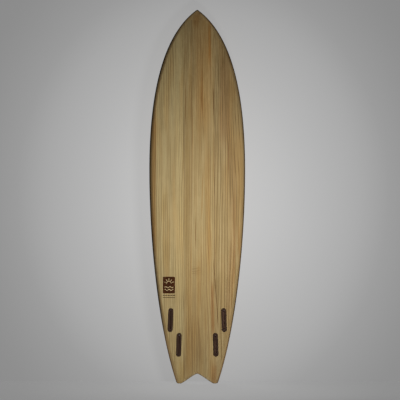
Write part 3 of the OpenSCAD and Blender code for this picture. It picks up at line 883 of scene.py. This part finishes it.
def nose_block():
    """The board's tip, whose two faces meet along the outline."""
    across = (1 - np.cos(np.pi * np.linspace(0, 1, 37))) / 2
    rows = 1 - (1 - np.linspace(0, 1, 26)) ** 1.6
    rows = np.concatenate([rows[:-2], 1 - np.array(NOSE_ROWS) / NOSE_BLOCK])
    z = NOSE_BASE + NOSE_BLOCK * np.unique(rows)[:, None] + 0 * across
    x = half_width(z) * (2 * across - 1)
    low, high = low_surface(x, z), high_surface(x, z)
    for column in (0, -1):
        low[:, column] = high[:, column] = bottom_at(x[:, column], z[:, column])
    low, high = np.minimum(low, low[:, :1]), np.maximum(high, high[:, :1])
    verts, faces = two_sheets(x, z, low, high)
    k = np.arange(x.size).reshape(x.shape)
    for row in (k[0], k[-1]):
        faces += np.c_[row[:-1], row[1:], row[1:] + x.size, row[:-1] + x.size].tolist()
    name = "nose_block"
    rim = half_width(verts[:, 2]) - np.abs(verts[:, 0])
    make_piece(name, verts, faces, [NOSE_WOOD_AND_SHADE], [name], sharp=BLUNT, rim=rim)


def tail_strip(side, name):
    """The strip that lines one flank of the notch."""
    x = np.linspace(0, 1, 30)[None, :] * (float(half_width(NOTCH_STRIP)) - RAIL)
    offset = np.array(ROUND_ROWS + STRIP_ROWS)[:, None] / NOTCH_STRIP
    z = tail_edge(x) + offset * (strip_edge(x) - tail_edge(x))
    x = np.minimum(x + 0 * z, half_width(z) - RAIL)
    verts, faces = closed_sheets(side * x, z, low_surface(x, z), high_surface(x, z))
    rim = np.tile((offset * NOTCH_STRIP + 0 * x).ravel(), 2)
    make_piece(name, verts, faces, [TAIL_WOOD_AND_SHADE], [name], sharp=BLUNT, rim=rim)


SIDES = ((-1, "left"), (1, "right"))
for side, word in SIDES:
    for number, place in enumerate(("outer", "middle", "inner")):
        rail_strip(side, number, f"rail_strip_{word}_{place}")
nose_block()
for side, word in SIDES:
    tail_strip(side, f"tail_strip_{word}")

# -------- fin boxes and screws

SCREW_Y, SCREW_LEAN = 52.0, 20.0
SLOT_L, SLOT_W, SLOT_D = 92.0, 6.6, 16.0
# (inset from the outline, height) from the bottom up
BOX_PROFILE = (
    (0.0, -BOX_D), (0.0, -0.4), (0.1, -0.15), (0.35, 0.0), (2.55, 0.0), (2.85, -0.1), (3.0, -0.3),
    (3.15, -0.55), (3.5, -0.6),
)
RIM_RINGS = 6  # rings of faces, from the bottom up, that have the rim's material
SLOT_PROFILE = ((0.0, -SLOT_D), (0.0, -1.0), (-0.4, -0.6), (-0.4, 3.0))
# (radius, height) along a screw's axis
SCREW_WELL = ((0, -15), (2.55, -15), (2.55, -1.7), (3.0, -1.2), (3.0, 5.0), (0, 5.0))
SCREW_TOP, SCREW_END = -2.5, -12.5
THREAD_PITCH, THREAD_ROOT, THREAD_DEPTH = 0.8, 2.03, 0.45
SOCKET_HALF, SOCKET_DEPTH = 1.25, 3.0


def screw_place(x, z, toe, end):
    """Puts a shape on a screw's axis, at a box's nose end (1) or tail end (-1)."""
    return fin_place(x, z, toe) @ shift(0, end * SCREW_Y, 0) @ turn(-end * SCREW_LEAN, "X")


def inset_loops(length, width, arc, run, profile, radius=None):
    return [level(stadium(length - 2 * i, width - 2 * i, arc, run, radius), h) for i, h in profile]


def fin_box(spot, x, z, toe):
    """A box with a raised rim, a slot for the fin's base and two wells for its screws."""
    matrix = fin_place(x, z, toe)
    loops = inset_loops(BOX_L, BOX_W, BOX_ARC, BOX_RUN, BOX_PROFILE)
    verts, faces = stack(loops)
    marks = [0 if number // len(loops[0]) < RIM_RINGS else 1 for number in range(len(faces))]
    marks[-2:] = [0, 1]
    name = f"fin_box_{spot}"
    plastics = [BOX_RIM, BOX_FACE, BOX_SLOT]
    box = make_piece(name, placed(verts, matrix), faces, plastics, [name], marks=marks)
    cut(box, cutter(*stack(inset_loops(SLOT_L, SLOT_W, 12, 2, SLOT_PROFILE, radius=1.4)), matrix))
    inward = np.linalg.inv(matrix)
    for polygon in box.data.polygons:
        across, along, height = placed(np.array(polygon.center) / MM, inward)
        if abs(across) < SLOT_W / 2 + 0.1 and abs(along) < SLOT_L / 2 + 0.2 and -SLOT_D - 0.5 < height < -1.0:
            polygon.material_index = 2
    for end in (-1, 1):
        cut(box, cutter(*lathe(SCREW_WELL, 40), screw_place(x, z, toe, end)))


def ring(radius, angle, height):
    return np.c_[radius * np.cos(angle), radius * np.sin(angle), np.full(len(angle), height)]


def grub_screw(name, matrix):
    """M5 grub screw: a cut thread between chamfered ends, with a hexagon socket."""
    sides = 48
    angle = 2 * np.pi * np.arange(sides) / sides
    thread = []
    for height in np.arange(SCREW_END, SCREW_TOP + 0.01, 0.1):
        wave = np.abs(((height / THREAD_PITCH - angle / (2 * np.pi)) % 1) * 2 - 1)
        chamfer = 1.75 + 1.1 * min(height - SCREW_END, SCREW_TOP - height)
        thread.append(ring(np.minimum(THREAD_ROOT + THREAD_DEPTH * wave, chamfer), angle, height))
    middle = 0 * angle
    hexagon = SOCKET_HALF / np.cos((angle + np.pi / 6) % (np.pi / 3) - np.pi / 6)
    socket = [
        ring(middle + 1.62, angle, SCREW_TOP),
        ring(hexagon + 0.12, angle, SCREW_TOP),
        ring(hexagon, angle, SCREW_TOP - 0.15),
        ring(hexagon, angle, SCREW_TOP - SOCKET_DEPTH),
        ring(middle, angle, SCREW_TOP - SOCKET_DEPTH - 0.5),
    ]
    rings = [ring(middle, angle, SCREW_END + 0.4), thread[0] * (0.7, 0.7, 1), *thread, *socket]
    verts = placed(np.vstack(rings), matrix)
    make_piece(name, verts, ring_faces(len(rings), sides), [STEEL], [name], body=name)


for spot, (x, z, toe) in FIN_SPOTS.items():
    fin_box(spot, x, z, toe)
    for end, word in ((1, "nose"), (-1, "tail")):
        grub_screw(f"screw_{spot}_{word}", screw_place(x, z, toe, end))

# -------- leash plug and vent

# (radius, height above the deck) about the plug's axis
CUP = (
    (0, -17), (12.4, -17), (13, -16.4), (13, 0), (15.6, 0), (15.95, 0.15), (16.0, 0.45), (15.8, 0.85),
    (15.3, 1.12), (14.6, 1.2), (11.4, 1.2), (10.85, 1.05), (10.55, 0.65), (10.5, 0.2), (10.5, -13.2),
    (10.2, -13.9), (9.4, -14.4), (8.6, -14.5), (0, -14.5),
)
VENT = (
    (4.0, -12), (7.6, -12), (8.0, -11.6), (8.0, -0.25), (7.75, -0.05), (7.5, 0.0), (5.5, 0.0), (5.15, -0.1),
    (5.0, -0.3), (5.0, -0.8), (4.0, -0.8), (4.0, -12),
)
PLUGS = (("leash_cup", CUP, 72, LEASH_Z, BLUNT), ("vent_plug", VENT, 56, VENT_Z, SHARP))
for name, profile, sides, z, sharp in PLUGS:
    verts, faces = lathe(profile, sides)
    verts = placed(verts, deck_place(z))
    make_piece(name, verts, faces, [CUP_PLASTIC], [name], sharp=sharp)

# -------- badge

BADGE_X, BADGE_Z = -149.0, 522.0
BADGE_L, BADGE_W = 88.0, 64.0
# How far above the bottom each part of the badge starts and ends
PLATE, INLAY, RULES = (0.12, 0.52), (0.5, 0.64), (0.0, 0.1)
BROKEN_RULE_Z, BROKEN_RULE = 468.0, ((-31, -24), (-18, -12), (-6, 4), (10, 15), (21, 31))
WHOLE_RULE_Z, WHOLE_RULE = 456.5, (-31, 31)


def on_bottom(x, z, lift):
    return np.c_[x, bottom_at(x, z) - lift, z]


def plate(loop, low, high, steps):
    """A thin plate over a loop of (x, z) points, from low to high above the bottom."""
    middle = loop.mean(0)
    edge = min(0.12, (high - low) / 3)
    small = middle + (loop - middle) * (1 - edge / np.linalg.norm(loop - middle, axis=1).mean())
    rings = [on_bottom(*(middle + (loop - middle) * s).T, low) for s in np.linspace(0, 1, steps)]
    rings.append(on_bottom(*loop.T, high - edge))
    rings += [on_bottom(*(middle + (small - middle) * s).T, high) for s in np.linspace(1, 0, steps)]
    return np.vstack(rings), ring_faces(len(rings), len(loop))


def ribbon(points, width, low, high):
    """A round-ended stroke along (x, z) points, from low to high above the bottom."""
    points = np.asarray(points, float)
    along = np.gradient(points, axis=0)
    along /= np.linalg.norm(along, axis=1)[:, None]
    side = np.c_[-along[:, 1], along[:, 0]] * width / 2
    sweep = np.radians(np.linspace(90, -90, 9))[1:-1]

    def cap(at, direction):
        across = np.array([-direction[1], direction[0]])
        return [at + width / 2 * (math.cos(a) * direction + math.sin(a) * across) for a in sweep]

    flat = np.vstack([points + side, points - side, cap(points[0], -along[0]), cap(points[-1], along[-1])])
    n = len(points)
    count = len(flat)
    first = list(range(2 * n, 2 * n + len(sweep)))
    last = list(range(2 * n + len(sweep), count))
    tops = [[i, i + 1, n + i + 1, n + i] for i in range(n - 1)]
    tops.append([n, *first, 0])
    tops.append([n - 1, *last, 2 * n - 1])
    rim = [*range(n), *last, *range(2 * n - 1, n - 1, -1), *first]
    faces = tops + [[i + count for i in f][::-1] for f in tops]
    faces += [[a, b, b + count, a + count] for a, b in zip(rim, rim[1:] + rim[:1])]
    return np.vstack([on_bottom(*flat.T, high), on_bottom(*flat.T, low)]), faces


def joined(parts):
    """Points and faces of several solids as one."""
    verts, faces, start = [], [], 0
    for v, f in parts:
        verts.append(v)
        faces += [[i + start for i in face] for face in f]
        start += len(v)
    return np.vstack(verts), faces


def badge_strokes():
    """A sun with rays over two waves."""
    sun = np.array([BADGE_X, BADGE_Z + 9.0])
    arc = np.radians(np.linspace(0, 180, 25))
    strokes = [ribbon(sun + 12.0 * np.c_[np.cos(arc), np.sin(arc)], 2.6, *INLAY)]
    for degrees in range(18, 163, 36):
        ray = np.array([math.cos(math.radians(degrees)), math.sin(math.radians(degrees))])
        strokes.append(ribbon([sun + ray * (17.5 + 1.5 * step) for step in range(6)], 2.4, *INLAY))
    for row in range(2):
        wave_x = np.linspace(-22, 22, 40)
        wave_z = 3.0 * np.sin(wave_x / 22 * 2 * np.pi + row * 1.4)
        strokes.append(ribbon(np.c_[BADGE_X + wave_x, BADGE_Z - 11 - 14 * row + wave_z], 2.6, *INLAY))
    return strokes


def rule(z, ends, width, count):
    return ribbon([(BADGE_X + step, z) for step in np.linspace(*ends, count)], width, *RULES)


loop = stadium(BADGE_L, BADGE_W, 16, 14, radius=6.0) + (BADGE_X, BADGE_Z)
verts, faces = plate(loop, *PLATE, 12)
make_piece("badge", verts, faces, [BADGE_DARK], ["badge"])
verts, faces = joined(badge_strokes())
make_piece("badge_inlay", verts, faces, [BADGE_PALE])
rules = [rule(BROKEN_RULE_Z, ends, 4.2, 5) for ends in BROKEN_RULE]
rules.append(rule(WHOLE_RULE_Z, WHOLE_RULE, 3.0, 14))
verts, faces = joined(rules)
make_piece("badge_rules", verts, faces, [BADGE_INK])

# -------- CAD nodes that stay

KEPT = {"foam_core": CORE_FOAM, "leash_insert": DENSE_FOAM, "leash_bar": STEEL, "vent_membrane": MEMBRANE}
KEPT.update({f"fin_insert_{spot}": DENSE_FOAM for spot in FIN_SPOTS})
for name, material in KEPT.items():
    node = frame["nodes"][name]
    node.data.materials.clear()
    node.data.materials.append(material)

# -------- stage, lights and camera, in metres

# The stage's glow paints a pool of light on the wall and the floor, brightest near the board's middle
GLOW_X = 0.03
GLOW_Z = 1.01
GLOW_DEEP = 0.6  # fall-off along Y and Z compared with X
GLOW_TALL = 0.85
GLOW_END = 2.5
GLOW = ((0.2, 0.49), (0.45, 0.438), (0.65, 0.392), (0.84, 0.352), (1.0, 0.29), (1.3, 0.229), (1.9, 0.225))
REACH = 30.0
WALL_Y = 0.13
WALL_TOP = 14.0


def stage_material(name, albedo, glow_height):
    """Matt paint with a painted pool of light: it glows softly by its distance from the glow's middle.
    glow_height stands in for the paint's own height, if it isn't None."""
    material, graph, shader = new_material(name)
    place = graph.place()
    mottle = graph.noise(place, 3.0, 0.5, 3.0)
    stops = [(0.3, (albedo * 0.97,) * 3), (0.7, (albedo,) * 3)]
    graph.put(shader.inputs["Base Color"], graph.ramp(mottle, stops))
    x, y, z = graph.node("ShaderNodeSeparateXYZ", {0: place}).outputs
    side = graph.math("SUBTRACT", x, GLOW_X)
    deep = graph.math("MULTIPLY", y, GLOW_DEEP)
    height = z if glow_height is None else glow_height
    tall = graph.math("MULTIPLY", graph.math("SUBTRACT", height, GLOW_Z), GLOW_TALL)
    offset = graph.node("ShaderNodeCombineXYZ", {0: side, 1: deep, 2: tall}).outputs[0]
    radius = graph.node("ShaderNodeVectorMath", {0: offset}, operation="LENGTH").outputs["Value"]
    glow = graph.ramp(graph.math("DIVIDE", radius, GLOW_END), [(at / GLOW_END, (v, v, v)) for at, v in GLOW])
    glow.node.color_ramp.interpolation = "B_SPLINE"
    graph.put(shader.inputs["Emission Color"], glow)
    shader.inputs["Emission Strength"].default_value = 1.0
    shader.inputs["Roughness"].default_value = 0.9
    shader.inputs["Specular IOR Level"].default_value = 0.1
    return material, graph, shader


def stage_piece(name, start, end, material):
    """A wide sheet from one (y, z) to another."""
    mesh = bpy.data.meshes.new(name)
    corners = [(-REACH, *start), (REACH, *start), (REACH, *end), (-REACH, *end)]
    mesh.from_pydata(corners, [], [(0, 1, 2, 3)])
    mesh.materials.append(material)
    thing = link(name, mesh)
    mesh.shade_smooth()
    return thing


# The floor's glow is a painted pool of light round the board
floor_paint_and_light_pool, _, _ = stage_material("floor_paint_and_light_pool", 0.07, 0.0)
floor = stage_piece("floor", (-REACH, 0), (REACH, 0), floor_paint_and_light_pool)
floor.visible_glossy = False

# The wall is clear from behind
wall_paint_and_light_pool, graph, shader = stage_material("wall_paint_and_light_pool", 0.08, None)
facing = graph.node("ShaderNodeNewGeometry").outputs["Backfacing"]
clear = graph.node("ShaderNodeBsdfTransparent").outputs[0]
blend = graph.node("ShaderNodeMixShader", {0: facing, 1: shader.outputs[0], 2: clear})
out = [n for n in wall_paint_and_light_pool.node_tree.nodes if n.type == "OUTPUT_MATERIAL"][0]
graph.put(out.inputs[0], blend.outputs[0])
wall = stage_piece("wall", (WALL_Y, 0), (WALL_Y, WALL_TOP), wall_paint_and_light_pool)
wall.visible_diffuse = False
wall.visible_glossy = False
wall.visible_shadow = False


def area_light(name, place, aim_z, size, power, spread=180, glossy=False):
    """A rectangular lamp that points at the board's middle line at the height aim_z."""
    light = bpy.data.lights.new(name, "AREA")
    light.shape = "RECTANGLE"
    light.size, light.size_y = size
    light.energy = power
    light.spread = math.radians(spread)
    thing = link(name, light)
    thing.location = place
    thing.visible_camera = False
    thing.visible_glossy = glossy
    thing.rotation_euler = (Vector((0, 0, aim_z)) - Vector(place)).to_track_quat("-Z", "Y").to_euler()


area_light("key", (0.36, -1.36, 0.76), 0.8, (0.35, 0.35), 12.5, spread=150)
area_light("fill", (0.3, -6.5, 1.0), 1.0, (3.0, 1.2), 22, glossy=True)
area_light("rear_key", (-1.2, 3.8, 2.4), 1.0, (2.5, 2.0), 130)
area_light("rear_fill", (1.2, 3.7, 0.9), 1.0, (2.5, 2.0), 40)

# The camera sees an even grey past the stage, and a faint white sky lights the board
world = bpy.data.worlds.new("studio")
scene.world = world
world.use_nodes = True
world.node_tree.nodes.clear()
graph = Graph(world.node_tree)
seen = graph.node("ShaderNodeBackground", {0: (0.232, 0.232, 0.232), 1: 1.0})
lit = graph.node("ShaderNodeBackground", {0: (1.0, 1.0, 1.0), 1: 0.06})
path = graph.node("ShaderNodeLightPath").outputs["Is Camera Ray"]
blend = graph.node("ShaderNodeMixShader", {0: path, 1: lit.outputs[0], 2: seen.outputs[0]})
graph.node("ShaderNodeOutputWorld", {0: blend.outputs[0]})

camera_data = bpy.data.cameras.new("camera")
camera_data.lens = 180.6
camera_data.sensor_width = 36.0
camera_data.clip_end = 200.0
camera = link("camera", camera_data)
camera.location = (0.0146, -10.62, 0.9698)
camera.rotation_euler = (math.radians(90), 0, 0)
scene.camera = camera
scene.view_settings.view_transform = "Standard"
scene.view_settings.look = "None"
